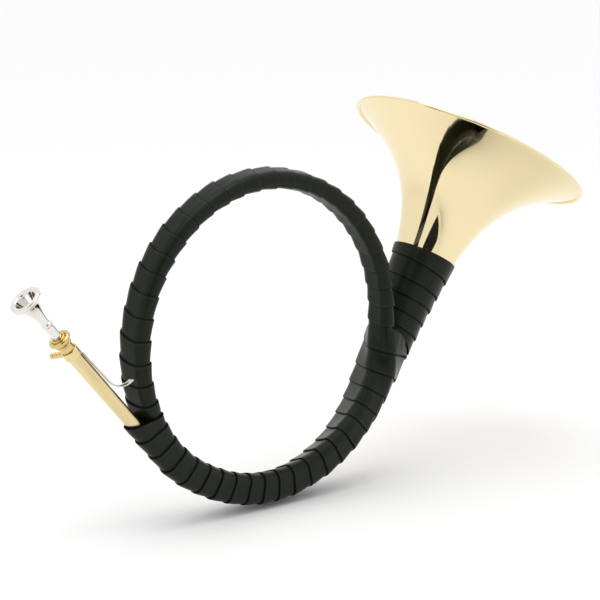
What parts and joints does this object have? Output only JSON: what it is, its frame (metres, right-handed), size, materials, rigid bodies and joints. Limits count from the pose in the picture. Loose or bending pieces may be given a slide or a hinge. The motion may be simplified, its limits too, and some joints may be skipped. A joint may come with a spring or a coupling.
{
  "type": "leather-wrapped brass hunting horn",
  "caption": "Leather-wrapped brass hunting horn: round coil of tube, flared bare bell, silver mouthpiece in a short tuning slide.",
  "frame": {"origin": "middle of the whole horn's bounding box", "axes": "the loop of tube lies in the XZ plane with its front face towards -Y; the mouthpiece is at -X, the bell at +X opens upwards"},
  "size_m": [0.4974, 0.1874, 0.2862],
  "materials": {
    "polished_brass": "polished",
    "slide_brass": "satin",
    "silver_plate": "polished",
    "dark_leather": "semi-gloss"
  },
  "bodies": {
    "horn": {"bell": "polished_brass", "bell_bow_tube": "polished_brass", "bell_branch_tube": "polished_brass", "bell_rim_wire": "polished_brass", "finger_hook": "silver_plate", "first_seam_ferrule": "polished_brass", "first_turn_tube": "polished_brass", "leather_bell_collar": "dark_leather", "leather_bell_wrap": "dark_leather", "leather_bundle_wrap": "dark_leather", "leather_loop_wrap": "dark_leather", "lock_screw_boss": "slide_brass", "outer_slide_tube": "slide_brass", "second_seam_ferrule": "polished_brass", "second_turn_tube": "polished_brass", "slide_collar": "slide_brass"},
    "tuning_slide": {"inner_slide_tube": "slide_brass", "receiver_socket": "slide_brass", "receiver_ring": "slide_brass"},
    "mouthpiece": {"mouthpiece": "silver_plate"},
    "lock_screw": {"lock_screw": "slide_brass"}
  },
  "joints": [
    {"name": "tuning_slide_pull", "type": "slide", "parent": "horn", "child": "tuning_slide", "axis": [-0.6441, 0, 0.7649], "range_m": [0, 0.03]},
    {"name": "mouthpiece_pull", "type": "slide", "parent": "tuning_slide", "child": "mouthpiece", "axis": [-0.6441, 0, 0.7649], "range_m": [0, 0.012]},
    {"name": "lock_screw_turn", "type": "hinge", "parent": "horn", "child": "lock_screw", "pos_m": [-0.20639, -0.018, -0.00497], "axis": [-0.3111, 0.9135, -0.262], "range_deg": [0, 360]}
  ]
}
